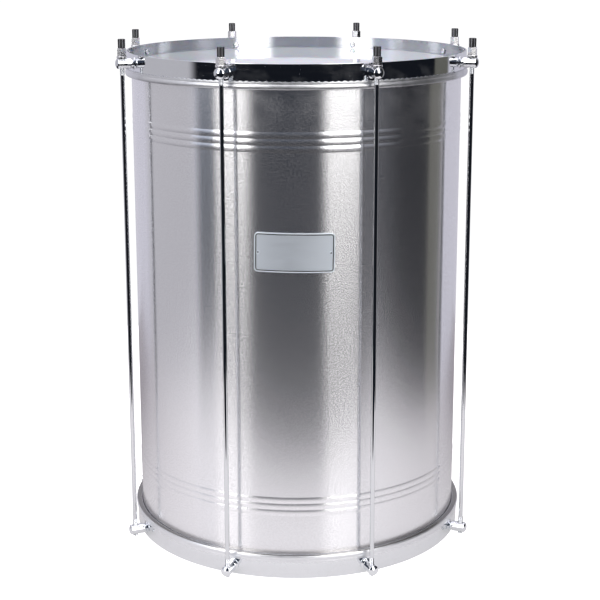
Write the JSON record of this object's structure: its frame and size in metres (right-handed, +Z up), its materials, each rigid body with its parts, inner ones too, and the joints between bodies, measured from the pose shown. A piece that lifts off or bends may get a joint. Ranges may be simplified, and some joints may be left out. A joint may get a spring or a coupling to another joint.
{
  "type": "surdo",
  "caption": "Tall cylindrical samba drum: beaded aluminium shell, a plain film head at each end, flat hoops and long tension rods whose capped nuts draw the upper hoop down.",
  "frame": {"origin": "centre of the lower hoop's edge, on the floor that the drum stands on", "axes": "+Z up along the drum's axis, -Y towards the name plate, +X to the right of someone who looks at it"},
  "size_m": [0.4256, 0.4256, 0.6195],
  "materials": {
    "shell_aluminium": "brushed, clear",
    "flesh_hoop_aluminium": "bright, crimped",
    "hoop_chrome": "polished chrome plate",
    "post_chrome": "polished chrome plate",
    "rod_steel": "bright plated wire",
    "screw_steel": "bright nickel plate",
    "nut_steel": "bright nickel plate",
    "cap_plastic": "moulded, satin",
    "film": "milky polyester film",
    "plate_aluminium": "satin, embossed rim",
    "plate_pin": "bright nickel plate"
  },
  "bodies": {
    "base": {"lower_hoop": "hoop_chrome", "lower_flesh_hoop": "flesh_hoop_aluminium", "lower_post_1": "post_chrome", "lower_post_2": "post_chrome", "lower_post_3": "post_chrome", "lower_post_4": "post_chrome", "lower_post_5": "post_chrome", "lower_post_6": "post_chrome", "lower_post_7": "post_chrome", "lower_post_8": "post_chrome", "tension_rod_1": "rod_steel", "tension_rod_2": "rod_steel", "tension_rod_3": "rod_steel", "tension_rod_4": "rod_steel", "tension_rod_5": "rod_steel", "tension_rod_6": "rod_steel", "tension_rod_7": "rod_steel", "tension_rod_8": "rod_steel", "rod_cap_1": "cap_plastic", "rod_cap_2": "cap_plastic", "rod_cap_3": "cap_plastic", "rod_cap_4": "cap_plastic", "rod_cap_5": "cap_plastic", "rod_cap_6": "cap_plastic", "rod_cap_7": "cap_plastic", "rod_cap_8": "cap_plastic"},
    "shell": {"shell": "shell_aluminium", "batter_head": "film", "resonant_head": "film", "name_plate": "plate_aluminium", "name_plate_pin_left": "plate_pin", "name_plate_pin_right": "plate_pin"},
    "upper_hoop": {"upper_hoop": "hoop_chrome", "upper_flesh_hoop": "flesh_hoop_aluminium", "upper_post_1": "post_chrome", "upper_post_2": "post_chrome", "upper_post_3": "post_chrome", "upper_post_4": "post_chrome", "upper_post_5": "post_chrome", "upper_post_6": "post_chrome", "upper_post_7": "post_chrome", "upper_post_8": "post_chrome", "hoop_screw_1": "screw_steel", "hoop_screw_2": "screw_steel", "hoop_screw_3": "screw_steel", "hoop_screw_4": "screw_steel", "hoop_screw_5": "screw_steel", "hoop_screw_6": "screw_steel", "hoop_screw_7": "screw_steel", "hoop_screw_8": "screw_steel"},
    "nut_1": {"tension_nut_1": "nut_steel"},
    "nut_2": {"tension_nut_2": "nut_steel"},
    "nut_3": {"tension_nut_3": "nut_steel"},
    "nut_4": {"tension_nut_4": "nut_steel"},
    "nut_5": {"tension_nut_5": "nut_steel"},
    "nut_6": {"tension_nut_6": "nut_steel"},
    "nut_7": {"tension_nut_7": "nut_steel"},
    "nut_8": {"tension_nut_8": "nut_steel"}
  },
  "joints": [
    {"name": "hoop_draw", "type": "slide", "parent": "base", "child": "upper_hoop", "axis": [0, 0, 1], "range_m": [-0.005, 0]},
    {"name": "shell_settle", "type": "slide", "parent": "base", "child": "shell", "axis": [0, 0, 1], "range_m": [-0.0025, 0]},
    {"name": "nut_turn_1", "type": "hinge", "parent": "upper_hoop", "child": "nut_1", "pos_m": [0.20418, 0.08457, 0.6045], "axis": [0, 0, 1], "range_deg": [-1801, 0]},
    {"name": "nut_turn_2", "type": "hinge", "parent": "upper_hoop", "child": "nut_2", "pos_m": [0.08457, 0.20418, 0.6045], "axis": [0, 0, 1], "range_deg": [-1801, 0]},
    {"name": "nut_turn_3", "type": "hinge", "parent": "upper_hoop", "child": "nut_3", "pos_m": [-0.08457, 0.20418, 0.6045], "axis": [0, 0, 1], "range_deg": [-1801, 0]},
    {"name": "nut_turn_4", "type": "hinge", "parent": "upper_hoop", "child": "nut_4", "pos_m": [-0.20418, 0.08457, 0.6045], "axis": [0, 0, 1], "range_deg": [-1801, 0]},
    {"name": "nut_turn_5", "type": "hinge", "parent": "upper_hoop", "child": "nut_5", "pos_m": [-0.20418, -0.08457, 0.6045], "axis": [0, 0, 1], "range_deg": [-1801, 0]},
    {"name": "nut_turn_6", "type": "hinge", "parent": "upper_hoop", "child": "nut_6", "pos_m": [-0.08457, -0.20418, 0.6045], "axis": [0, 0, 1], "range_deg": [-1801, 0]},
    {"name": "nut_turn_7", "type": "hinge", "parent": "upper_hoop", "child": "nut_7", "pos_m": [0.08457, -0.20418, 0.6045], "axis": [0, 0, 1], "range_deg": [-1801, 0]},
    {"name": "nut_turn_8", "type": "hinge", "parent": "upper_hoop", "child": "nut_8", "pos_m": [0.20418, -0.08457, 0.6045], "axis": [0, 0, 1], "range_deg": [-1801, 0]}
  ],
  "couplings": [
    {"joint": "shell_settle", "follows": "hoop_draw", "ratio": 0.5},
    {"joint": "nut_turn_1", "follows": "hoop_draw", "rad_per_m": 6283.2},
    {"joint": "nut_turn_2", "follows": "hoop_draw", "rad_per_m": 6283.2},
    {"joint": "nut_turn_3", "follows": "hoop_draw", "rad_per_m": 6283.2},
    {"joint": "nut_turn_4", "follows": "hoop_draw", "rad_per_m": 6283.2},
    {"joint": "nut_turn_5", "follows": "hoop_draw", "rad_per_m": 6283.2},
    {"joint": "nut_turn_6", "follows": "hoop_draw", "rad_per_m": 6283.2},
    {"joint": "nut_turn_7", "follows": "hoop_draw", "rad_per_m": 6283.2},
    {"joint": "nut_turn_8", "follows": "hoop_draw", "rad_per_m": 6283.2}
  ]
}
